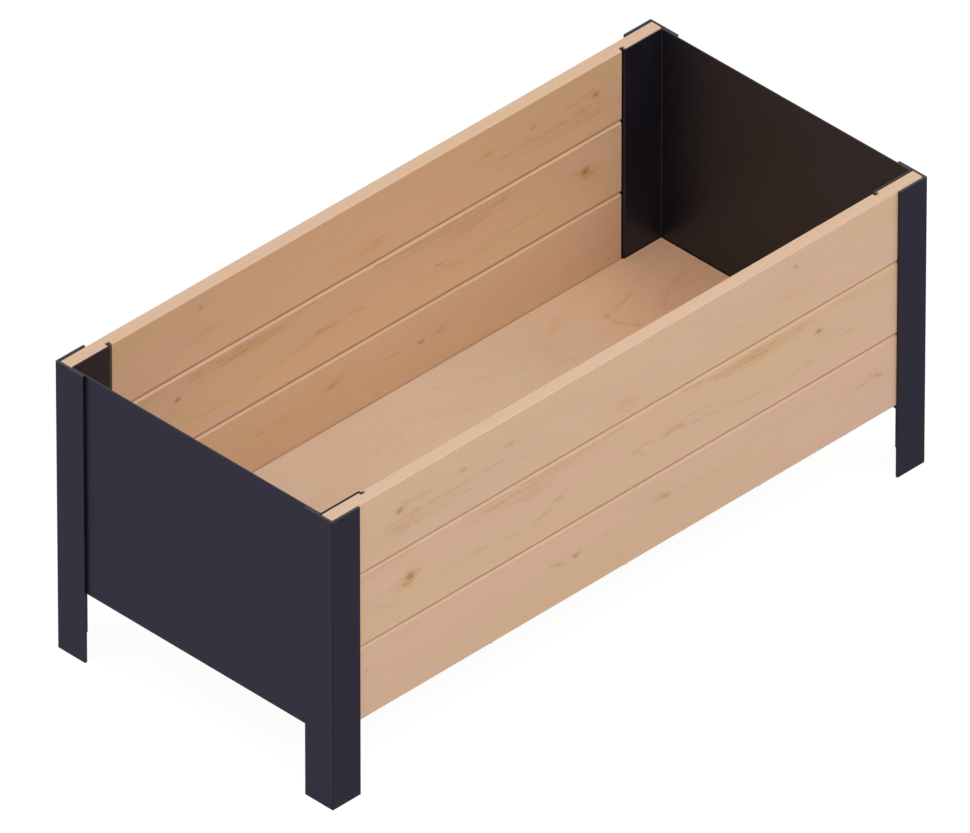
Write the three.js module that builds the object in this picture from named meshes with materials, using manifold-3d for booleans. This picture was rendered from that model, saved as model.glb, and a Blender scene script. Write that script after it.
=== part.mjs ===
// Garden planter box: three tongue-and-groove boards along each long side, held between steel
// angle legs and the folded edges of two sheet-steel ends, over a plywood floor.
// Millimetres, +Z up, origin on the ground under the middle of the box, +X along its length.
// Left is -X, right is +X, front is -Y and back is +Y.

import * as THREE from "three";
import { mergeVertices } from "three/addons/utils/BufferGeometryUtils.js";
import Module from "manifold-3d";

// Overall size
const overallLength = 860;
const overallWidth = 400;
const overallHeight = 360;
const undersideHeight = 89.2; // from the ground up to the underside of the boards

// Room between neighbours
const touchGap = 0.3; // pieces that lie against each other
const floorGap = 1; // all round the drop-in floor

// Angle legs
const legFlange = 40;
const legThickness = 3;
const legHeelRadius = 1;
const legRootRadius = 1.5;

// Sheet-steel ends, folded along the inside of the boards and hooked into them
const sheetThickness = 1.5;
const foldRadius = 1.5; // inside a fold
const foldReach = 56.2; // from the outer face of the end to the tip of its fold
const hookDepth = 5;
const hookPlay = 2.5; // spare width of the slot in the boards, past the hook

// Wall boards
const boardNames = ["bottom", "middle", "top"];
const boardThickness = 16;
const boardCover = 91; // height that a whole board adds to its wall; the top one is trimmed to fit
const boardEndRadius = 2;
const jointChamfer = 2.6; // bevelled edges that make a V along each joint
const wallTopRadius = 2; // eased edges along the top of the wall
const wallFootRadius = 2.5; // eased edges along its underside
const tongueThickness = 5;
const tongueHeight = 6;
const tongueTipRadius = 1;

// Floor and what carries it
const floorThickness = 8;
const crossBarWidth = 35;
const crossBarThickness = 3;
const strapCount = 3;
const strapWidth = 30;
const strapThickness = 3;
const strapSetback = 8; // from the outer face of the boards to the end of a strap

// Countersunk screws, up through the straps into the bottom boards
const screwShankRadius = 2;
const screwLength = 30;
const screwTipLength = 5;
const screwHeadRadius = 4;
const screwHeadRim = 0.4; // straight edge of the head, below its cone
const recessLength = 4.4;
const recessWidth = 1.1;
const recessDepth = 1.5;
const holeGap = 0.3; // round a screw

// How finely round shapes are drawn
const cornerSteps = 4;
const roundSteps = 24;
const overshoot = 1; // how far a cutting shape runs past what it cuts

// Places that several pieces share
const endFaceX = overallLength / 2 - legThickness - touchGap; // board ends and outer faces of the ends
const boardOuterY = overallWidth / 2 - legThickness - touchGap;
const boardInnerY = boardOuterY - boardThickness;
const foldFaceY = boardInnerY - touchGap; // face of the folded edge that lies against the boards
const barTop = undersideHeight - touchGap;
const barBottom = barTop - crossBarThickness;
const screwY = boardOuterY - boardThickness / 2;

const powderCoat = new THREE.MeshStandardMaterial({ color: 0x34323b, roughness: 0.5, metalness: 0.2 });
const planedBoard = new THREE.MeshStandardMaterial({ color: 0xcba98e, roughness: 0.7, metalness: 0 });
const plywood = new THREE.MeshStandardMaterial({ color: 0xceaa8b, roughness: 0.75, metalness: 0 });
const zincPlate = new THREE.MeshStandardMaterial({ color: 0xb9bdc1, roughness: 0.35, metalness: 1 });

const wasm = await Module();
wasm.setup();

function solidFrom(geometry) {
  const bare = geometry.clone();
  bare.deleteAttribute("normal");
  bare.deleteAttribute("uv");
  const merged = mergeVertices(bare, 1e-4);
  const vertProperties = merged.getAttribute("position").array;
  const triVerts = new Uint32Array(merged.index.array);
  return new wasm.Manifold(new wasm.Mesh({ numProp: 3, vertProperties, triVerts }));
}

function geometryFrom(solid) {
  const { vertProperties, triVerts } = solid.getMesh();
  const geometry = new THREE.BufferGeometry();
  geometry.setAttribute("position", new THREE.BufferAttribute(vertProperties, 3));
  geometry.setIndex(new THREE.BufferAttribute(triVerts, 1));
  geometry.computeVertexNormals();
  return geometry;
}

// A closed outline from corners given as [x, y, radius]; a corner with no radius stays sharp.
function roundedOutline(corners) {
  const points = [];
  corners.forEach(([x, y, radius = 0], i) => {
    const corner = new THREE.Vector2(x, y);
    if (radius === 0) {
      points.push(corner);
      return;
    }
    const [lastX, lastY] = corners.at(i - 1);
    const [nextX, nextY] = corners[(i + 1) % corners.length];
    const back = new THREE.Vector2(lastX - x, lastY - y).normalize();
    const ahead = new THREE.Vector2(nextX - x, nextY - y).normalize();
    const halfAngle = Math.acos(back.dot(ahead)) / 2;
    const inward = back.clone().add(ahead).normalize();
    const centre = corner.clone().addScaledVector(inward, radius / Math.sin(halfAngle));
    const turn = (Math.PI - 2 * halfAngle) * Math.sign(ahead.cross(back));
    const start = corner.clone().addScaledVector(back, radius / Math.tan(halfAngle));
    for (let step = 0; step <= cornerSteps; step++) {
      points.push(start.clone().rotateAround(centre, (turn * step) / cornerSteps));
    }
  });
  return new THREE.Shape(points);
}

function prism(outline, depth) {
  return new THREE.ExtrudeGeometry(outline, { depth, bevelEnabled: false });
}

function box(sizeX, sizeY, sizeZ) {
  return new THREE.BoxGeometry(sizeX, sizeY, sizeZ);
}

function upright(radius, height) {
  return new THREE.CylinderGeometry(radius, radius, height, roundSteps).rotateX(Math.PI / 2);
}

// A leg stands with its heel on its own origin; towardX and towardY are the ways its flanges run.
function legGeometry(towardX, towardY) {
  const corners = [
    [0, 0, legHeelRadius],
    [legFlange, 0],
    [legFlange, legThickness],
    [legThickness, legThickness, legRootRadius],
    [legThickness, legFlange],
    [0, legFlange],
  ];
  const placed = corners.map(([x, y, radius]) => [towardX * x, towardY * y, radius]);
  return prism(roundedOutline(placed), overallHeight);
}

// The left end, with its outer face on x = 0 and its folds running to +X.
function endPanelGeometry() {
  const outside = foldRadius + sheetThickness;
  const backHalf = [
    [sheetThickness, foldFaceY - sheetThickness, foldRadius],
    [foldReach, foldFaceY - sheetThickness, outside],
    [foldReach, foldFaceY + hookDepth],
    [foldReach - sheetThickness, foldFaceY + hookDepth],
    [foldReach - sheetThickness, foldFaceY, foldRadius],
    [0, foldFaceY, outside],
  ];
  const frontHalf = backHalf.map(([x, y, radius]) => [x, -y, radius]).reverse();
  const folded = solidFrom(prism(roundedOutline([...backHalf, ...frontHalf]), overallHeight - barBottom));
  // The folds stop above the cross bar, and the sheet itself covers the bar.
  const cutHeight = undersideHeight - barBottom;
  const cutter = box(foldReach, overallWidth, cutHeight + overshoot);
  cutter.translate(sheetThickness + foldReach / 2, 0, (cutHeight - overshoot) / 2);
  return geometryFrom(folded.subtract(solidFrom(cutter)));
}

// The slot that takes a hook, as distances from the end of a board.
const slotNear = foldReach - sheetThickness - foldRadius - touchGap;
const slotFar = foldReach + hookPlay;

// A board's cross-section: x from its outer face inwards, y up from its lower shoulder.
function boardSection(height, hasGroove, hasTongue) {
  const middle = boardThickness / 2;
  const tongueHalf = tongueThickness / 2;
  const grooveHalf = tongueHalf + touchGap;
  const groove = [
    [middle - grooveHalf, 0],
    [middle - grooveHalf, tongueHeight],
    [middle + grooveHalf, tongueHeight],
    [middle + grooveHalf, 0],
  ];
  const tongue = [
    [middle + tongueHalf, height],
    [middle + tongueHalf, height + tongueHeight, tongueTipRadius],
    [middle - tongueHalf, height + tongueHeight, tongueTipRadius],
    [middle - tongueHalf, height],
  ];
  const chamfer = jointChamfer;
  const outerFoot = hasGroove ? [[0, chamfer], [chamfer, 0]] : [[0, 0, wallFootRadius]];
  const outerTop = hasTongue ? [[chamfer, height], [0, height - chamfer]] : [[0, height, wallTopRadius]];
  const toInside = ([x, y, radius]) => [boardThickness - x, y, radius];
  return roundedOutline([
    ...outerFoot,
    ...(hasGroove ? groove : []),
    ...outerFoot.map(toInside).reverse(),
    ...outerTop.map(toInside).reverse(),
    ...(hasTongue ? tongue : []),
    ...outerTop,
  ]);
}

// A board seen from above, with eased ends and a slot near each end of its inner face.
function boardPlan() {
  const slotFloor = boardThickness - hookDepth;
  const rightHalf = [
    [endFaceX, 0, boardEndRadius],
    [endFaceX, boardThickness, boardEndRadius],
    [endFaceX - slotNear, boardThickness],
    [endFaceX - slotNear, slotFloor],
    [endFaceX - slotFar, slotFloor],
    [endFaceX - slotFar, boardThickness],
  ];
  const leftHalf = rightHalf.map(([x, y, radius]) => [-x, y, radius]).reverse();
  return roundedOutline([...rightHalf, ...leftHalf]);
}

function strapPositions() {
  const reach = endFaceX - sheetThickness - touchGap - crossBarWidth;
  return Array.from({ length: strapCount }, (_, i) => reach * ((2 * (i + 1)) / (strapCount + 1) - 1));
}

// A front board: x along its length, y = 0 on its outer face, z = 0 at its lower shoulder.
function boardGeometry(row) {
  const isBottom = row === 0;
  const isTop = row === boardNames.length - 1;
  const wholeHeight = boardCover - touchGap;
  const trimmedHeight = overallHeight - undersideHeight - row * boardCover;
  const height = isTop ? trimmedHeight : wholeHeight;
  const length = 2 * endFaceX;
  const lengthwise = new THREE.Matrix4().makeBasis(
    new THREE.Vector3(0, 1, 0),
    new THREE.Vector3(0, 0, 1),
    new THREE.Vector3(1, 0, 0),
  );
  const moulded = prism(boardSection(height, !isBottom, !isTop), length);
  moulded.applyMatrix4(lengthwise).translate(-length / 2, 0, 0);
  const planned = prism(boardPlan(), height + tongueHeight + 2 * overshoot).translate(0, 0, -overshoot);
  let board = solidFrom(moulded).intersect(solidFrom(planned));
  if (isBottom) {
    const depth = screwLength - strapThickness + holeGap;
    for (const x of strapPositions()) {
      const pilot = upright(screwShankRadius + holeGap, depth + overshoot);
      pilot.translate(x, boardThickness / 2, (depth - overshoot) / 2);
      board = board.subtract(solidFrom(pilot));
    }
  }
  return geometryFrom(board);
}

// The floor fills the box between the ends and the boards, notched round the folds.
function floorGeometry() {
  const endX = endFaceX - sheetThickness - floorGap;
  const notchX = endFaceX - foldReach - floorGap;
  const sideY = boardInnerY - floorGap;
  const notchY = foldFaceY - sheetThickness - floorGap;
  const backRight = [
    [endX, notchY],
    [notchX, notchY],
    [notchX, sideY],
  ];
  const backLeft = backRight.map(([x, y]) => [-x, y]).reverse();
  const frontLeft = backRight.map(([x, y]) => [-x, -y]);
  const frontRight = backRight.map(([x, y]) => [x, -y]).reverse();
  return prism(roundedOutline([...backRight, ...backLeft, ...frontLeft, ...frontRight]), floorThickness);
}

function crossBarGeometry() {
  return box(crossBarWidth, 2 * boardOuterY, crossBarThickness);
}

// A turned shape with its axis upright, from corners given as [radius, z].
function turned(corners) {
  const profile = corners.map(([radius, z]) => new THREE.Vector2(radius, z));
  return solidFrom(new THREE.LatheGeometry(profile, roundSteps).rotateX(Math.PI / 2));
}

// Where a head's cone meets the shank, above the flat of the head; the cone is a right-angled one.
const screwConeTop = screwHeadRim + screwHeadRadius - screwShankRadius;

// A strap has z = 0 on its underside, with a countersunk hole for each screw.
function strapGeometry() {
  const bar = box(strapWidth, 2 * (boardOuterY - strapSetback), strapThickness);
  let strap = solidFrom(bar.translate(0, 0, strapThickness / 2));
  const hole = turned([
    [0, -overshoot],
    [screwHeadRadius + holeGap, -overshoot],
    [screwHeadRadius + holeGap, screwHeadRim],
    [screwShankRadius + holeGap, screwConeTop],
    [screwShankRadius + holeGap, strapThickness + overshoot],
    [0, strapThickness + overshoot],
  ]);
  for (const y of [-screwY, screwY]) {
    strap = strap.subtract(hole.translate([0, y, 0]));
  }
  return geometryFrom(strap);
}

// A screw points up, with z = 0 on the flat of its head and a cross recess there.
function screwGeometry() {
  let screw = turned([
    [0, 0],
    [screwHeadRadius, 0],
    [screwHeadRadius, screwHeadRim],
    [screwShankRadius, screwConeTop],
    [screwShankRadius, screwLength - screwTipLength],
    [0, screwLength],
  ]);
  const recessCentre = (recessDepth - overshoot) / 2;
  const slots = [
    box(recessLength, recessWidth, recessDepth + overshoot),
    box(recessWidth, recessLength, recessDepth + overshoot),
  ];
  for (const slot of slots) {
    screw = screw.subtract(solidFrom(slot.translate(0, 0, recessCentre)));
  }
  return geometryFrom(screw);
}

function addPiece(group, name, geometry, material) {
  const mesh = new THREE.Mesh(geometry, material);
  mesh.name = name;
  group.add(mesh);
  return mesh;
}

function legs() {
  const group = new THREE.Group();
  for (const [sideName, y] of [["front", -overallWidth / 2], ["back", overallWidth / 2]]) {
    for (const [endName, x] of [["left", -overallLength / 2], ["right", overallLength / 2]]) {
      const geometry = legGeometry(-Math.sign(x), -Math.sign(y));
      addPiece(group, `leg_${sideName}_${endName}`, geometry, powderCoat).position.set(x, y, 0);
    }
  }
  return group;
}

// What belongs to one end of the box; the right end is the left one turned half round.
function endSet(endName) {
  const group = new THREE.Group();
  const panel = addPiece(group, `${endName}_end_panel`, endPanelGeometry(), powderCoat);
  panel.position.set(-endFaceX, 0, barBottom);
  const bar = addPiece(group, `${endName}_cross_bar`, crossBarGeometry(), powderCoat);
  const barX = -endFaceX + sheetThickness + touchGap + crossBarWidth / 2;
  bar.position.set(barX, 0, barTop - crossBarThickness / 2);
  return group;
}

// One long wall of boards; the back wall is the front one turned half round.
function wall(sideName) {
  const group = new THREE.Group();
  boardNames.forEach((rowName, row) => {
    const board = addPiece(group, `${sideName}_board_${rowName}`, boardGeometry(row), planedBoard);
    board.position.set(0, -boardOuterY, undersideHeight + row * boardCover);
  });
  return group;
}

function floorSet() {
  const group = new THREE.Group();
  addPiece(group, "floor_panel", floorGeometry(), plywood).position.z = undersideHeight;
  strapPositions().forEach((x, i) => {
    const strap = addPiece(group, `floor_strap_${i + 1}`, strapGeometry(), powderCoat);
    strap.position.set(x, 0, barTop - strapThickness);
    for (const [sideName, y] of [["front", -screwY], ["back", screwY]]) {
      const screw = addPiece(group, `strap_screw_${sideName}_${i + 1}`, screwGeometry(), zincPlate);
      screw.position.set(x, y, barTop - strapThickness);
    }
  });
  return group;
}

const planter = new THREE.Group();
const rightEnd = endSet("right");
rightEnd.rotation.z = Math.PI;
const backWall = wall("back");
backWall.rotation.z = Math.PI;
planter.add(legs(), endSet("left"), rightEnd, wall("front"), backWall, floorSet());

export default planter;
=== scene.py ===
# Garden planter box: three board walls, angle legs, folded sheet-steel ends and a plywood floor.
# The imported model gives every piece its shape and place; this script gives it finish, light and camera.
# Metres, +Z up, origin on the ground under the middle of the box. Left is -X and front is -Y.

import bpy
import math
from mathutils import Matrix, Vector


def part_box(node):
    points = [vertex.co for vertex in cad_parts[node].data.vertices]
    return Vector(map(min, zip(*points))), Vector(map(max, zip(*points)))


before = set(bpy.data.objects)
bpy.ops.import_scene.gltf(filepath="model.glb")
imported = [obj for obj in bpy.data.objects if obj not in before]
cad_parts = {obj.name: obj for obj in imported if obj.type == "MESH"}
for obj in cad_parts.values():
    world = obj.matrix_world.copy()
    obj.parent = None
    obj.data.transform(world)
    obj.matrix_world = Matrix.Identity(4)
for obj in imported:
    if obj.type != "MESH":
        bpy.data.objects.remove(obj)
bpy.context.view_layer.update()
mm = 0.001
print("frame loaded:", len(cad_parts), "nodes")


# Camera, a long lens far off, looking down over the front left corner

shot = {
    "heading": 45.035,  # degrees from +X towards +Y
    "tilt": 35.627,  # degrees below the horizon
    "distance": 33.547,
    "lens": 1215.1,
    "aim": Vector((0, 0, 0.180)),
    "slideRight": -0.00823,
    "slideUp": -0.00496,
}


def placeCamera():
    heading = math.radians(shot["heading"])
    tilt = math.radians(shot["tilt"])
    ahead = Vector((math.cos(tilt) * math.cos(heading), math.cos(tilt) * math.sin(heading), -math.sin(tilt)))
    right = Vector((math.sin(heading), -math.cos(heading), 0))
    up = right.cross(ahead)
    data = bpy.data.cameras.new("camera")
    data.sensor_width = 36
    data.lens = shot["lens"]
    data.clip_end = 200
    camera = bpy.data.objects.new("camera", data)
    bpy.context.scene.collection.objects.link(camera)
    turn = Matrix((right, up, -ahead)).transposed().to_4x4()
    slide = right * shot["slideRight"] + up * shot["slideUp"]
    camera.matrix_world = Matrix.Translation(shot["aim"] - ahead * shot["distance"] + slide) @ turn
    bpy.context.scene.camera = camera


placeCamera()
print("camera placed")


# Small helpers for shader trees

def addNode(tree, kind, inputs=None, **settings):
    node = tree.nodes.new(kind)
    for key, value in settings.items():
        setattr(node, key, value)
    for key, value in (inputs or {}).items():
        if isinstance(value, bpy.types.NodeSocket):
            tree.links.new(value, node.inputs[key])
        else:
            node.inputs[key].default_value = value
    return node


def calc(tree, operation, *values, clamp=False):
    inputs = dict(enumerate(values))
    return addNode(tree, "ShaderNodeMath", inputs, operation=operation, use_clamp=clamp).outputs[0]


def vector(tree, operation, *values):
    inputs = dict(enumerate(values))
    return addNode(tree, "ShaderNodeVectorMath", inputs, operation=operation).outputs[0]


def fade(tree, value, start, end, low=0.0, high=1.0):
    inputs = {"Value": value, "From Min": start, "From Max": end, "To Min": low, "To Max": high}
    return addNode(tree, "ShaderNodeMapRange", inputs, interpolation_type="SMOOTHSTEP").outputs["Result"]


def blend(tree, amount, first, second, mode="MIX"):
    node = addNode(tree, "ShaderNodeMix", data_type="RGBA", blend_type=mode, clamp_factor=True)
    for socket, value in ((node.inputs[0], amount), (node.inputs[6], first), (node.inputs[7], second)):
        if isinstance(value, bpy.types.NodeSocket):
            tree.links.new(value, socket)
        elif socket.type == "RGBA":
            socket.default_value = (*value, 1)
        else:
            socket.default_value = value
    return node.outputs[2]


def noise(tree, point, stretch, detail=2.0, roughness=0.5, seed=0.0):
    spread = vector(tree, "MULTIPLY", point, stretch)
    shifted = vector(tree, "ADD", spread, (seed * 7.3, seed * 3.1, seed * 5.7))
    inputs = {"Vector": shifted, "Scale": 1.0, "Detail": detail, "Roughness": roughness}
    return addNode(tree, "ShaderNodeTexNoise", inputs, noise_dimensions="3D")


def newMaterial(name):
    material = bpy.data.materials.new(name)
    material.use_nodes = True
    tree = material.node_tree
    tree.nodes.clear()
    shader = tree.nodes.new("ShaderNodeBsdfPrincipled")
    output = tree.nodes.new("ShaderNodeOutputMaterial")
    tree.links.new(shader.outputs["BSDF"], output.inputs["Surface"])
    place = tree.nodes.new("ShaderNodeTexCoord").outputs["Object"]
    return material, tree, shader, place


def giveFinish(nodeName, material):
    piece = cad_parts[nodeName]
    piece.data.materials.clear()
    piece.data.materials.append(material)


# Softwood boards. A figure is in millimetres on the board's outer face: x along it, z above the ground.
# The back wall is the front wall turned half round, so each pair of boards shares a figure.

boardLook = {
    "pale": (0.645, 0.423, 0.279),
    "rosy": (0.652, 0.418, 0.294),
    "straw": (0.641, 0.426, 0.258),
    "lateWood": (0.88, 0.82, 0.74),
    "fibre": (0.90, 0.86, 0.80),
    "paintedTopShade": (0.91, 0.94, 0.99),  # painted shade: the upward faces are a little darker and greyer
    "ringSpacing": 4.2,
    "ringDepth": 0.14,
    "taper": 0.018,  # how fast the rings leave the face along the board
    "sway": 12,  # how far the grain wanders
    "knotReach": (44, 26),  # length and height of the rings that a knot disturbs
    "knotPush": 9,  # how far it pushes them aside
    "roughness": 0.56,
    "gloss": 0.35,
    "grainHeight": 0.05,
}

# Painted shade in the V joints and just above them; depths and heights in millimetres
jointShadeLook = {
    "tint": (0.58, 0.50, 0.42),
    "jointDepth": 2.6,
    "startDepth": 1.9,  # it lies between this depth and the bottom of the V
    "outside": 0.82,  # share of it on the outer faces
    "above": 0.55,  # share of it just above a joint, on the inner faces
    "aboveHeight": 2.8,
    "aboveFull": 0.4,
}

# What a mark does to the wood under it where it is strongest
tints = {
    "olive": (0.84, 0.81, 0.60),
    "amber": (0.84, 0.72, 0.50),
    "dusk": (0.84, 0.80, 0.72),
    "rust": (0.82, 0.48, 0.20),
    "bark": (0.50, 0.38, 0.25),
}

# Patches are soft ovals: place, length, height, tilt in degrees, tint and strength
# Spots are written the same way and are crisper, for knots and flecks
# Strokes are soft lines: tint, strength, width and the points they pass
# The pith and the knots steer the growth rings; the pith has a depth below the outer face and a height
# The inside tint is painted light and shade on the inner face, lighter towards the rim
boardFigures = {
    "bottom": {
        "seed": 3.0,
        "inside": (1.01, 0.985, 0.93),
        "pith": (70, 118),
        "knots": [(-75.5, 139), (-378, 147)],
        "patches": [
            (-104, 141, 36, 11, -8, "olive", 0.30),
            (45, 151, 40, 13, -10, "olive", 0.36),
            (51, 148.5, 26, 7, -9, "olive", 0.80),
            (126, 141, 50, 9, 0, "olive", 0.36),
            (338, 142, 28, 7, -6, "olive", 0.50),
            (-264, 114, 26, 8, -20, "amber", 0.10),
        ],
        "spots": [
            (-378, 147.5, 7, 5, 20, "amber", 0.9),
            (-8, 142.5, 12, 4, 10, "dusk", 0.30),
            (-12, 104, 18, 11, 0, "amber", 0.30),
            (53, 148, 14, 4, -9, "bark", 0.22),
            (158, 141, 18, 7, 0, "olive", 0.28),
            (172, 151, 15, 8, 35, "olive", 0.40),
            (350, 148, 14, 7, -15, "amber", 0.55),
            (362, 144, 22, 9, -20, "amber", 0.95),
            (220, 116, 16, 7, -15, "amber", 0.20),
        ],
        "strokes": [
            ("olive", 0.75, 3.5, [(-114, 144), (-107, 141.5), (-100, 139)]),
            ("amber", 0.50, 3.5, [(-101, 138), (-90, 135.5)]),
            ("bark", 0.60, 2.6, [(-81, 139.5), (-76, 137), (-73, 139)]),
            ("dusk", 0.50, 3, [(-57, 145), (-42, 141.5), (-25, 142.5)]),
        ],
    },
    "middle": {
        "seed": 11.0,
        "inside": (1.08, 1.05, 1.01),
        "pith": (62, 214),
        "knots": [(-316, 233.6), (273.6, 242.4)],
        "patches": [
            (-317, 234, 27, 17, 20, "olive", 0.34),
            (-195, 257.5, 46, 8, 0, "amber", 0.42),
            (-150, 259, 190, 12, 0, "amber", 0.26),
            (-372, 262, 90, 10, 0, "olive", 0.24),
            (-142, 252, 80, 15, -3, "amber", 0.26),
            (-75, 258, 100, 10, 0, "olive", 0.16),
            (60, 225.5, 40, 9, 3, "olive", 0.62),
            (130, 226, 60, 10, 0, "olive", 0.14),
            (175, 259, 170, 12, 0, "amber", 0.42),
            (190, 252, 70, 12, 0, "olive", 0.26),
            (322, 262, 44, 8, -6, "olive", 0.50),
            (370, 256, 50, 12, -10, "olive", 0.18),
            (281, 231, 26, 26, 0, "olive", 0.17),
            (52, 194, 50, 18, 0, "dusk", 0.10),
        ],
        "spots": [
            (-317, 233.4, 40, 24, 20, "amber", 0.80),
            (-315, 233.8, 16, 15, 24, "rust", 0.70),
            (-313.5, 235.2, 8, 8, 0, "bark", 0.45),
            (-318.5, 231.4, 6, 6, 0, "bark", 0.30),
            (-325, 229.2, 11, 6, 0, "bark", 0.50),
            (-101, 223, 22, 6, 8, "dusk", 0.38),
            (16, 220, 16, 9, 10, "olive", 0.35),
            (273.6, 242.4, 13, 9, -10, "olive", 0.50),
            (273.6, 242.6, 10, 7, -10, "bark", 0.90),
            (-196, 196, 14, 6, 0, "dusk", 0.18),
        ],
        "strokes": [
            ("olive", 0.50, 3, [(-396, 266), (-360, 266), (-312, 268)]),
            ("dusk", 0.62, 3, [(-235, 268), (-200, 266), (-150, 267), (-100, 264.5), (-50, 264),
                               (-8, 266.5)]),
            ("amber", 0.42, 2, [(-176, 250), (-150, 246.5), (-112, 244)]),
            ("dusk", 0.30, 2, [(-172, 252.5), (-158, 249), (-128, 248)]),
            ("dusk", 0.34, 3, [(-372, 224), (-360, 216), (-345, 211), (-328, 209.5)]),
            ("olive", 0.42, 3, [(-278, 212), (-255, 215), (-222, 216)]),
            ("dusk", 0.48, 3, [(-222, 216), (-195, 214), (-168, 209), (-148, 208)]),
            ("dusk", 0.80, 3.4, [(-136, 210), (-122, 213.5), (-112, 216), (-108, 221), (-96, 224)]),
            ("olive", 0.62, 4, [(6, 222), (20, 227), (36, 225), (60, 224.5), (80, 226)]),
            ("olive", 0.42, 4, [(6, 222), (18, 218), (26, 212)]),
            ("dusk", 0.52, 3.2, [(72, 224), (88, 219.5), (112, 217), (150, 214), (185, 209), (215, 205),
                                 (240, 205), (265, 210)]),
            ("dusk", 0.46, 3, [(86, 231), (100, 232.5), (116, 230.5)]),
            ("dusk", 0.70, 3, [(75, 267), (100, 265.5), (124, 261.5), (160, 262), (200, 261.5), (240, 262),
                               (268, 263)]),
            ("amber", 0.60, 2.4, [(126, 258), (150, 254.5), (176, 256), (215, 254.5), (258, 256)]),
            ("dusk", 0.50, 4.5, [(294, 226), (308, 223.5), (322, 219)]),
        ],
    },
    "top": {
        "seed": 23.0,
        "inside": (1.14, 1.09, 1.04),
        "pith": (80, 300),
        "knots": [(-331, 323.6), (-239, 327), (240.5, 340)],
        "patches": [
            (-335, 303, 30, 10, 0, "olive", 0.22),
            (-318, 304, 110, 22, 0, "olive", 0.34),
            (-372, 296, 60, 26, 0, "amber", 0.14),
            (-255, 310, 90, 12, 0, "olive", 0.16),
            (-12, 296, 34, 11, 0, "amber", 0.52),
            (6, 291, 34, 10, -4, "amber", 0.30),
            (-2, 283, 34, 9, 0, "amber", 0.18),
            (240, 307, 64, 11, -5, "amber", 0.36),
            (163, 303, 26, 9, -15, "amber", 0.12),
            (110, 343, 24, 9, -10, "olive", 0.14),
        ],
        "spots": [
            (-331.5, 323.6, 14, 8, 8, "bark", 0.70),
            (-331.5, 323.6, 24, 13, 8, "olive", 0.50),
            (-239, 327, 14, 8, -15, "bark", 0.42),
            (-172, 326.8, 26, 11, 0, "olive", 1.0),
            (-160, 322, 14, 5, -20, "olive", 0.35),
            (-137, 325.5, 10, 5, -25, "dusk", 0.25),
            (240.5, 340, 12, 7, -20, "bark", 0.42),
            (240.5, 340, 16, 9, -20, "olive", 0.40),
        ],
        "strokes": [
            ("olive", 0.62, 3.4, [(-328, 330), (-318, 328.5), (-302, 326), (-286, 325.5)]),
            ("olive", 0.60, 3.4, [(-345, 310.5), (-322, 312), (-298, 311.5)]),
            ("dusk", 0.60, 3, [(-286, 311), (-258, 311), (-236, 312.5), (-206, 310.5), (-184, 311)]),
            ("amber", 0.46, 3, [(-338, 298.5), (-316, 297.5)]),
            ("dusk", 0.56, 2.8, [(-306, 298), (-270, 297.5), (-240, 299), (-190, 298), (-146, 300.5)]),
            ("dusk", 0.40, 2.6, [(152, 309.5), (160, 306.5), (168, 305)]),
        ],
    },
}


# How far a point lies from a mark, in half widths of that mark and then squared. The marks run through
# the whole board.
def measure(tree, point, direction, origin):
    reading = addNode(tree, "ShaderNodeVectorMath", {0: point, 1: direction}, operation="DOT_PRODUCT")
    return calc(tree, "SUBTRACT", reading.outputs["Value"], direction.dot(origin))


def sumOfSquares(tree, first, second):
    return calc(tree, "MULTIPLY_ADD", first, first, calc(tree, "MULTIPLY", second, second))


def patchAt(tree, flat, x, z, length, height, tilt):
    centre = Vector((x, 0, z)) * mm
    turn = math.radians(tilt)
    lengthwise = Vector((math.cos(turn), 0, math.sin(turn))) * 2 / (length * mm)
    crosswise = Vector((-math.sin(turn), 0, math.cos(turn))) * 2 / (height * mm)
    return sumOfSquares(tree, measure(tree, flat, lengthwise, centre), measure(tree, flat, crosswise, centre))


def strokeAlong(tree, flat, width, points):
    nearest = None
    perWidth = 2 / (width * mm)
    corners = [Vector((x, 0, z)) * mm for x, z in points]
    for first, second in zip(corners, corners[1:]):
        run = second - first
        middle = (first + second) / 2
        lengthwise = run.normalized() * perWidth
        crosswise = Vector((-lengthwise.z, 0, lengthwise.x))
        fromMiddle = calc(tree, "ABSOLUTE", measure(tree, flat, lengthwise, middle))
        beyondEnd = calc(tree, "MAXIMUM", calc(tree, "SUBTRACT", fromMiddle, run.length * perWidth / 2), 0.0)
        reach = sumOfSquares(tree, beyondEnd, measure(tree, flat, crosswise, middle))
        nearest = reach if nearest is None else calc(tree, "MINIMUM", nearest, reach)
    return nearest


# How a figure breaks up: its wander in millimetres, and how quickly each kind of mark fades outwards
figureLook = {
    "wanderAlong": 10,
    "wanderUp": 5,
    "patchFalloff": 1.8,
    "strokeFalloff": 1.3,
    "spotFalloff": 3.0,
}


# Full in the middle of a mark and fainter and fainter outwards
def softMark(tree, reach, ragged, falloff):
    return calc(tree, "POWER", calc(tree, "MULTIPLY_ADD", reach, ragged, 1.0), -falloff)


def layMarks(tree, colour, marks, gate):
    totals = {}
    for tint, strength, shape in marks:
        totals[tint] = calc(tree, "MULTIPLY_ADD", shape, strength, totals.get(tint, 0.0))
    for tint, total in totals.items():
        colour = blend(tree, calc(tree, "MULTIPLY", total, gate), colour, tints[tint], "MULTIPLY")
    return colour


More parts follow.
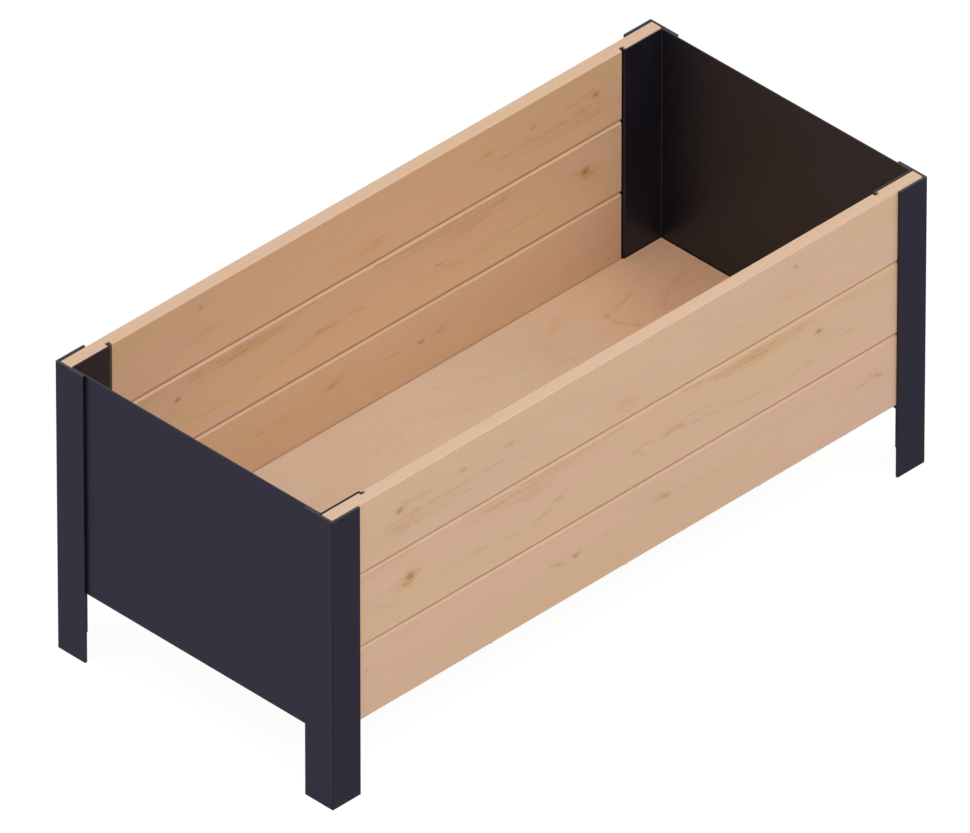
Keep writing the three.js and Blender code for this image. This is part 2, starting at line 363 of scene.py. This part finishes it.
# A figure's marks, laid over a colour; flat holds the figure's own x and z, in metres
def drawFigure(tree, colour, flat, figure, seed):
    look = figureLook

    # Noise that bends the marks, frays their outlines, streaks the patches and breaks up the strokes
    wander = noise(tree, flat, (26, 1, 55), detail=2, roughness=0.5, seed=seed + 1).outputs["Color"]
    centred = vector(tree, "SUBTRACT", wander, (0.5, 0.5, 0.5))
    reach = (look["wanderAlong"] * mm, 0, look["wanderUp"] * mm)
    wavy = vector(tree, "MULTIPLY_ADD", centred, reach, flat)
    breakUp = noise(tree, flat, (70, 1, 420), detail=3, roughness=0.6, seed=seed + 2).outputs["Fac"]
    ragged = fade(tree, breakUp, 0.32, 0.68, 0.45, 2.0)
    streaks = noise(tree, wavy, (16, 1, 300), detail=2, roughness=0.6, seed=seed + 7).outputs["Fac"]
    streaky = fade(tree, streaks, 0.36, 0.62, 0.6, 1.3)
    fading = noise(tree, wavy, (48, 1, 110), detail=2, roughness=0.6, seed=seed + 8).outputs["Fac"]
    patchy = fade(tree, fading, 0.36, 0.6, 0.35, 1.15)

    patches = ((tint, strength, softMark(tree, patchAt(tree, wavy, *oval), ragged, look["patchFalloff"]))
               for *oval, tint, strength in figure["patches"])
    colour = layMarks(tree, colour, patches, streaky)
    lines = ((tint, strength, strokeAlong(tree, wavy, width, points))
             for tint, strength, width, points in figure["strokes"])
    strokes = ((tint, strength, softMark(tree, line, ragged, look["strokeFalloff"]))
               for tint, strength, line in lines)
    colour = layMarks(tree, colour, strokes, patchy)
    spots = ((tint, strength, softMark(tree, patchAt(tree, wavy, *oval), ragged, look["spotFalloff"]))
             for *oval, tint, strength in figure["spots"])
    return layMarks(tree, colour, spots, 1.0)


# Where the painted shade lies: at the bottom of the V joints, and on the inner faces just above them as well
def jointShadeShare(tree, point, facing, inward, rowName):
    look = jointShadeLook
    front, back = (corner[1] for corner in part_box("front_board_middle"))
    apart = addNode(tree, "ShaderNodeSeparateXYZ", {0: point}).outputs
    fromMiddle = calc(tree, "ABSOLUTE", calc(tree, "SUBTRACT", apart["Y"], (front + back) / 2))
    depth = calc(tree, "SUBTRACT", (back - front) / 2, fromMiddle)
    deep = fade(tree, depth, look["startDepth"] * mm, look["jointDepth"] * mm)
    notOnTop = fade(tree, facing["Z"], 0.95, 0.8)
    inJoint = calc(tree, "MULTIPLY", calc(tree, "MULTIPLY", deep, notOnTop),
                   fade(tree, inward, -0.5, 0.5, look["outside"], 1))
    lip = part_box(f"front_board_{rowName}")[0][2] + look["jointDepth"] * mm
    height = calc(tree, "SUBTRACT", apart["Z"], lip)
    low = fade(tree, height, look["aboveHeight"] * mm, look["aboveFull"] * mm, 0, look["above"])
    aboveJoint = calc(tree, "MULTIPLY", low, fade(tree, inward, 0.3, 0.9))
    return calc(tree, "MAXIMUM", inJoint, aboveJoint)


def boardMaterial(name, rowName, turned):
    look = boardLook
    material, tree, shader, place = newMaterial(name)
    side = -1 if turned else 1
    point = vector(tree, "MULTIPLY", place, (side, side, 1))
    flat = vector(tree, "MULTIPLY", point, (1, 0, 1))
    figure = boardFigures[rowName]
    seed = figure["seed"]

    # Wandering grain: the whole pattern is shifted a few millimetres, slowly along the board
    sway = noise(tree, point, (3, 14, 14), detail=2, seed=seed).outputs["Color"]
    centred = vector(tree, "SUBTRACT", sway, (0.5, 0.5, 0.5))
    swayed = vector(tree, "MULTIPLY", centred, (0, look["sway"] * mm, look["sway"] * mm))
    grain = vector(tree, "ADD", point, swayed)

    # Growth rings round a pith that runs along the board; a knot pushes them aside
    pithDepth, pithHeight = figure["pith"]
    centre = (0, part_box("front_board_middle")[0][1] + pithDepth * mm, pithHeight * mm)
    fromPith = vector(tree, "MULTIPLY", vector(tree, "SUBTRACT", grain, centre), (0, 1, 1))
    distance = addNode(tree, "ShaderNodeVectorMath", {0: fromPith}, operation="LENGTH").outputs["Value"]
    along = addNode(tree, "ShaderNodeSeparateXYZ", {0: grain}).outputs["X"]
    radius = calc(tree, "MULTIPLY_ADD", along, look["taper"], distance)
    for x, z in figure["knots"]:
        fromKnot = patchAt(tree, flat, x, z, *look["knotReach"], 0)
        push = calc(tree, "EXPONENT", calc(tree, "MULTIPLY", fromKnot, -2.0))
        radius = calc(tree, "MULTIPLY_ADD", push, look["knotPush"] * mm, radius)
    ring = calc(tree, "FRACT", calc(tree, "DIVIDE", radius, look["ringSpacing"] * mm))
    lateWood = calc(tree, "MULTIPLY", fade(tree, ring, 0.25, 0.85), fade(tree, ring, 0.99, 0.86))
    bandNoise = noise(tree, point, (1.6, 12, 12), detail=1, seed=seed + 2).outputs["Fac"]
    ringStrength = fade(tree, bandNoise, 0.35, 0.7, 0, look["ringDepth"])

    # Colour: wide faint bands, then rings, fine fibre streaks and the figure
    broad = noise(tree, grain, (2.2, 16, 24), detail=3, roughness=0.55, seed=seed + 3).outputs["Fac"]
    broader = noise(tree, grain, (1.6, 7, 9), detail=1, seed=seed + 4).outputs["Fac"]
    colour = blend(tree, fade(tree, broader, 0.4, 0.6), look["pale"], look["rosy"])
    colour = blend(tree, fade(tree, broad, 0.46, 0.64, 0, 0.9), colour, look["straw"])
    colour = blend(tree, calc(tree, "MULTIPLY", lateWood, ringStrength), colour, look["lateWood"], "MULTIPLY")
    fibre = noise(tree, grain, (9, 420, 420), detail=3, roughness=0.65, seed=seed + 5).outputs["Fac"]
    colour = blend(tree, fade(tree, fibre, 0.45, 0.8, 0, 0.45), colour, look["fibre"], "MULTIPLY")
    colour = drawFigure(tree, colour, flat, figure, seed)

    # Then painted light and shade that depend on which way the wood faces, and painted shade in the joints
    normal = tree.nodes.new("ShaderNodeNewGeometry").outputs["Normal"]
    facing = addNode(tree, "ShaderNodeSeparateXYZ", {0: normal}).outputs
    # Painted shade: the faces that look up are darker
    colour = blend(tree, fade(tree, facing["Z"], 0.6, 0.9), colour, look["paintedTopShade"], "MULTIPLY")
    inward = calc(tree, "MULTIPLY", facing["Y"], side)
    # Painted light and shade on the inner faces
    colour = blend(tree, fade(tree, inward, 0.3, 0.9), colour, figure["inside"], "MULTIPLY")
    # Painted shade at the bottom of the V joints and just above them on the inner faces
    jointShade = jointShadeShare(tree, point, facing, inward, rowName)
    colour = blend(tree, jointShade, colour, jointShadeLook["tint"], "MULTIPLY")

    tree.links.new(colour, shader.inputs["Base Color"])
    shine = fade(tree, fibre, 0.3, 0.8, look["roughness"] - 0.05, look["roughness"] + 0.08)
    tree.links.new(shine, shader.inputs["Roughness"])
    shader.inputs["Specular IOR Level"].default_value = look["gloss"]
    hair = noise(tree, grain, (60, 1900, 1900), detail=2, seed=seed + 6).outputs["Fac"]
    relief = calc(tree, "ADD", calc(tree, "MULTIPLY", fibre, 0.6), calc(tree, "MULTIPLY", hair, 0.4))
    bump = addNode(tree, "ShaderNodeBump", {"Height": relief, "Strength": 0.5,
                                            "Distance": look["grainHeight"] * mm})
    tree.links.new(bump.outputs["Normal"], shader.inputs["Normal"])
    return material


for wallName, turned in (("front", False), ("back", True)):
    for rowName in boardFigures:
        nodeName = f"{wallName}_board_{rowName}"
        giveFinish(nodeName, boardMaterial(nodeName + "_wood", rowName, turned))
print("boards finished")


# Plywood floor: one rotary-cut face with a loose swirling figure, and its plies on the cut edges.
# Its figure is in millimetres from the middle of the floor: x along the box, then y towards the back.

plyLook = {
    "pale": (0.620, 0.460, 0.338),
    "warm": (0.612, 0.436, 0.300),
    "line": (0.84, 0.76, 0.66),
    "yellower": (0.975, 0.955, 0.89),  # yellower towards the right end
    "paintedWarmLight": (1.28, 1.03, 0.94),  # painted light: redder and brighter close to it
    "glue": (0.300, 0.150, 0.080),
    "waves": 26,  # the more, the closer the lines of the swirls
    "plies": 5,
    "roughness": 0.6,
    "gloss": 0.35,
    "grainHeight": 0.05,
}
plyFigure = {
    "patches": [
        (-150, 96, 70, 16, 12, "amber", 0.20),
        (-40, 120, 90, 12, 4, "dusk", 0.14),
        (120, 130, 120, 14, 8, "dusk", 0.12),
        # The wide dark patch at the right end is partly figure and partly painted shade
        (385, 100, 110, 44, 12, "dusk", 0.20),
        (80, 108, 60, 22, -25, "amber", 0.10),
        (200, 90, 34, 16, -40, "amber", 0.12),
    ],
    "spots": [
        (284, 122, 22, 16, -20, "olive", 0.40),
        (72, 142, 20, 10, 10, "olive", 0.18),
    ],
    "strokes": [
        ("dusk", 0.55, 5, [(338, 84), (346, 96), (362, 106), (382, 114), (402, 118), (424, 120)]),
        ("olive", 0.62, 4, [(283, 119), (298, 121), (312, 124), (330, 128)]),
        ("amber", 0.50, 6, [(286, 118), (284, 104), (292, 90), (300, 80)]),
        ("amber", 0.34, 9, [(196, 114), (204, 126), (220, 137), (242, 145)]),
        ("dusk", 0.34, 3, [(184, 108), (200, 96), (208, 84)]),
        ("olive", 0.34, 4, [(140, 132), (158, 143), (176, 147)]),
        ("dusk", 0.45, 3.5, [(188, 144), (194, 146), (202, 153)]),
        ("dusk", 0.34, 3, [(-12, 140), (20, 131), (50, 121), (84, 105)]),
        ("dusk", 0.28, 3, [(28, 119), (48, 110), (70, 96)]),
        ("dusk", 0.28, 3, [(66, 152), (96, 138), (124, 128), (160, 112)]),
        ("dusk", 0.28, 3, [(204, 110), (226, 102), (252, 90)]),
        ("dusk", 0.24, 3, [(-36, 107), (-14, 105), (14, 103)]),
    ],
}


def plywoodMaterial():
    look = plyLook
    material, tree, shader, place = newMaterial("plywood_floor")
    sway = noise(tree, place, (3.2, 7.5, 3), detail=2, roughness=0.45, seed=41).outputs["Fac"]
    wave = calc(tree, "PINGPONG", calc(tree, "MULTIPLY", sway, look["waves"]), 0.5)
    strength = noise(tree, place, (4, 9, 1), detail=1, seed=43).outputs["Fac"]
    broad = noise(tree, place, (4, 11, 1), detail=3, seed=45).outputs["Fac"]
    colour = blend(tree, fade(tree, broad, 0.35, 0.7), look["pale"], look["warm"])
    amount = calc(tree, "MULTIPLY", fade(tree, wave, 0.3, 0.5), fade(tree, strength, 0.4, 0.75, 0.03, 0.13))
    colour = blend(tree, amount, colour, look["line"], "MULTIPLY")
    fibre = noise(tree, place, (14, 380, 380), detail=3, roughness=0.6, seed=47).outputs["Fac"]
    colour = blend(tree, fade(tree, fibre, 0.45, 0.8, 0, 0.4), colour, look["line"], "MULTIPLY")
    apart = addNode(tree, "ShaderNodeSeparateXYZ", {0: place}).outputs
    # Yellower towards the right end, then painted light: redder and brighter close to it
    colour = blend(tree, fade(tree, apart["X"], 0, 0.25), colour, look["yellower"], "MULTIPLY")
    colour = blend(tree, fade(tree, apart["X"], 0.15, 0.45), colour, look["paintedWarmLight"], "MULTIPLY")
    flat = addNode(tree, "ShaderNodeCombineXYZ", {"X": apart["X"], "Z": apart["Y"]}).outputs[0]
    colour = drawFigure(tree, colour, flat, plyFigure, 49)

    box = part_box("floor_panel")
    thickness = box[1][2] - box[0][2]
    level = calc(tree, "DIVIDE", calc(tree, "SUBTRACT", apart["Z"], box[0][2]), thickness / look["plies"])
    seam = fade(tree, calc(tree, "PINGPONG", level, 0.5), 0.12, 0.0)
    crossPly = calc(tree, "FLOORED_MODULO", calc(tree, "FLOOR", level), 2.0)
    edgeColour = blend(tree, crossPly, look["pale"], look["line"], "MULTIPLY")
    edgeColour = blend(tree, calc(tree, "MULTIPLY", seam, 0.7), edgeColour, look["glue"])
    normal = tree.nodes.new("ShaderNodeNewGeometry").outputs["Normal"]
    facing = calc(tree, "ABSOLUTE", addNode(tree, "ShaderNodeSeparateXYZ", {0: normal}).outputs["Z"])
    colour = blend(tree, fade(tree, facing, 0.6, 0.4), colour, edgeColour)

    tree.links.new(colour, shader.inputs["Base Color"])
    shader.inputs["Roughness"].default_value = look["roughness"]
    shader.inputs["Specular IOR Level"].default_value = look["gloss"]
    bump = addNode(tree, "ShaderNodeBump", {"Height": fibre, "Strength": 0.4,
                                            "Distance": look["grainHeight"] * mm})
    tree.links.new(bump.outputs["Normal"], shader.inputs["Normal"])
    return material


giveFinish("floor_panel", plywoodMaterial())
print("floor finished")


# Powder-coated steel: near-black with a blue cast, smooth satin, a trace of orange peel

coatLook = {
    "colour": (0.0050, 0.0044, 0.0092),
    "dust": (0.0062, 0.0056, 0.0110),
    "roughness": 0.42,
    "gloss": 0.41,
    "peelSize": 1.6,
    "peelHeight": 0.010,
}
coatedNames = [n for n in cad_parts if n.startswith(("leg_", "floor_strap_")) or n.endswith(
    ("_end_panel", "_cross_bar"))]


def coatMaterial():
    look = coatLook
    material, tree, shader, place = newMaterial("powder_coat")
    cloud = noise(tree, place, (9, 9, 9), detail=3, seed=61).outputs["Fac"]
    colour = blend(tree, fade(tree, cloud, 0.35, 0.7), look["colour"], look["dust"])
    tree.links.new(colour, shader.inputs["Base Color"])
    rough = fade(tree, cloud, 0.3, 0.7, look["roughness"] - 0.03, look["roughness"] + 0.03)
    tree.links.new(rough, shader.inputs["Roughness"])
    shader.inputs["Specular IOR Level"].default_value = look["gloss"]
    perMetre = 1 / (look["peelSize"] * mm)
    peel = noise(tree, place, (perMetre, perMetre, perMetre), detail=1, seed=63).outputs["Fac"]
    bump = addNode(tree, "ShaderNodeBump", {"Height": peel, "Strength": 0.6,
                                            "Distance": look["peelHeight"] * mm})
    tree.links.new(bump.outputs["Normal"], shader.inputs["Normal"])
    return material


coat = coatMaterial()
for nodeName in coatedNames:
    giveFinish(nodeName, coat)
print("powder coat on", len(coatedNames), "pieces")


# Zinc-plated screws

zincLook = {"colour": (0.60, 0.61, 0.62), "dull": (0.45, 0.46, 0.47), "roughness": 0.3}


def zincMaterial():
    look = zincLook
    material, tree, shader, place = newMaterial("zinc_plate")
    cloud = noise(tree, place, (600, 600, 600), detail=2, seed=71).outputs["Fac"]
    tree.links.new(blend(tree, cloud, look["colour"], look["dull"]), shader.inputs["Base Color"])
    tree.links.new(fade(tree, cloud, 0.2, 0.8, look["roughness"], look["roughness"] + 0.2),
                   shader.inputs["Roughness"])
    shader.inputs["Metallic"].default_value = 1.0
    return material


zinc = zincMaterial()
for nodeName in [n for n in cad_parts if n.startswith("strap_screw_")]:
    giveFinish(nodeName, zinc)
print("screws finished")


# Edges: every cut edge gets a small radius, and rounds are shaded smooth

edgeLook = {"steel": 0.35, "wood": 0.25, "floor": 0.2, "screw": 0.1, "angle": 35}


def softenEdges(nodeName, width):
    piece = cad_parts[nodeName]
    for polygon in piece.data.polygons:
        polygon.use_smooth = True
    flatten = piece.modifiers.new("mergeFlats", "DECIMATE")
    flatten.decimate_type = "DISSOLVE"
    flatten.angle_limit = math.radians(0.5)
    bevel = piece.modifiers.new("softEdge", "BEVEL")
    bevel.width = width * mm
    bevel.segments = 2
    bevel.limit_method = "ANGLE"
    bevel.angle_limit = math.radians(edgeLook["angle"])
    bevel.use_clamp_overlap = False
    even = piece.modifiers.new("evenShading", "WEIGHTED_NORMAL")
    even.weight = 100
    even.keep_sharp = True


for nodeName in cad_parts:
    if "_board_" in nodeName:
        softenEdges(nodeName, edgeLook["wood"])
    elif nodeName == "floor_panel":
        softenEdges(nodeName, edgeLook["floor"])
    elif nodeName.startswith("strap_screw_"):
        softenEdges(nodeName, edgeLook["screw"])
    else:
        softenEdges(nodeName, edgeLook["steel"])
print("edges softened")


# Studio: a white floor, a dim white surround and four large soft lamps round the box

studio = {
    "floorSize": 30,
    "floorColour": (0.85, 0.85, 0.85),
    "seenColour": (0.12, 0.12, 0.12),  # the camera sees a white floor with only a faint shadow
    "seenGlow": 0.935,
    "paintedReflectionColour": (0.53, 0.490, 0.722),  # painted reflection: for mirror rays the floor glows cool grey, so the steel reflects it
    "paintedReflectionFront": 0.72,  # less of it in front of the box than to its left
    "paintedReflectionEdge": (0.12, 0.34),  # where one passes into the other, by Y less X
    "surround": 0.03,
    "aim": Vector((0, 0, 0.18)),
}
# Place, width, height and watts
lamps = {
    "softboxFront": ((0.0, -3.21, 4.01), 5.6, 4.0, 216),
    "softboxRight": ((3.21, 0.0, 4.01), 4.0, 4.0, 90),
    "softboxLeft": ((-3.21, 0.0, 4.01), 4.0, 4.0, 100),
    "softboxBack": ((0.0, 4.70, 1.89), 4.0, 2.5, 90),
}


def addShader(tree, first, second):
    both = tree.nodes.new("ShaderNodeAddShader")
    tree.links.new(first, both.inputs[0])
    tree.links.new(second, both.inputs[1])
    return both.outputs[0]


def pickShader(tree, amount, first, second):
    pick = tree.nodes.new("ShaderNodeMixShader")
    tree.links.new(amount, pick.inputs[0])
    tree.links.new(first, pick.inputs[1])
    tree.links.new(second, pick.inputs[2])
    return pick.outputs[0]


# One for what the camera sees straight, mirrored or through glass, and nought for light on the object
def directRay(tree):
    path = tree.nodes.new("ShaderNodeLightPath").outputs
    seen = calc(tree, "MAXIMUM", path["Is Camera Ray"], path["Is Glossy Ray"])
    return calc(tree, "MAXIMUM", seen, path["Is Transmission Ray"])


def makeFloor():
    half = studio["floorSize"] / 2
    mesh = bpy.data.meshes.new("studio_floor")
    corners = [(-half, -half, 0), (half, -half, 0), (half, half, 0), (-half, half, 0)]
    mesh.from_pydata(corners, [], [(0, 1, 2, 3)])
    floor = bpy.data.objects.new("studio_floor", mesh)
    bpy.context.scene.collection.objects.link(floor)
    material = bpy.data.materials.new("studio_floor_white")
    material.use_nodes = True
    tree = material.node_tree
    tree.nodes.clear()
    output = tree.nodes.new("ShaderNodeOutputMaterial")
    path = tree.nodes.new("ShaderNodeLightPath").outputs
    place = tree.nodes.new("ShaderNodeTexCoord").outputs["Object"]
    apart = addNode(tree, "ShaderNodeSeparateXYZ", {0: place}).outputs
    matt = addNode(tree, "ShaderNodeBsdfDiffuse", {"Color": (*studio["floorColour"], 1)}).outputs[0]
    thin = addNode(tree, "ShaderNodeBsdfDiffuse", {"Color": (*studio["seenColour"], 1)}).outputs[0]
    glow = addNode(tree, "ShaderNodeEmission", {"Strength": studio["seenGlow"]}).outputs[0]
    # Painted reflection: for mirror rays the floor glows a cool grey, brighter to the left of the box
    toTheLeft = calc(tree, "SUBTRACT", apart["Y"], apart["X"])
    reflectionLeftward = fade(tree, toTheLeft, *studio["paintedReflectionEdge"], studio["paintedReflectionFront"], 1)
    paintedReflection = addNode(tree, "ShaderNodeEmission", {"Color": (*studio["paintedReflectionColour"], 1),
                                                    "Strength": reflectionLeftward}).outputs[0]
    seen = pickShader(tree, path["Is Glossy Ray"], addShader(tree, thin, glow), paintedReflection)
    tree.links.new(pickShader(tree, directRay(tree), matt, seen), output.inputs["Surface"])
    mesh.materials.append(material)


# The surround lights the object at its own strength, and is plain white where it is seen or mirrored
def makeSurround():
    world = bpy.data.worlds.new("studio_surround")
    bpy.context.scene.world = world
    world.use_nodes = True
    tree = world.node_tree
    tree.nodes.clear()
    output = tree.nodes.new("ShaderNodeOutputWorld")
    strength = calc(tree, "MULTIPLY_ADD", directRay(tree), 1 - studio["surround"], studio["surround"])
    light = addNode(tree, "ShaderNodeBackground", {"Color": (1, 1, 1, 1), "Strength": strength})
    tree.links.new(light.outputs[0], output.inputs["Surface"])


def makeLamp(name, place, width, height, watts):
    data = bpy.data.lights.new(name, "AREA")
    data.shape = "RECTANGLE"
    data.size = width
    data.size_y = height
    data.energy = watts
    lamp = bpy.data.objects.new(name, data)
    bpy.context.scene.collection.objects.link(lamp)
    lamp.location = place
    lamp.rotation_euler = (studio["aim"] - lamp.location).to_track_quat("-Z", "Y").to_euler()


makeFloor()
makeSurround()
for lampName, settings in lamps.items():
    makeLamp(lampName, *settings)
bpy.context.scene.view_settings.view_transform = "Standard"
print("studio lit")
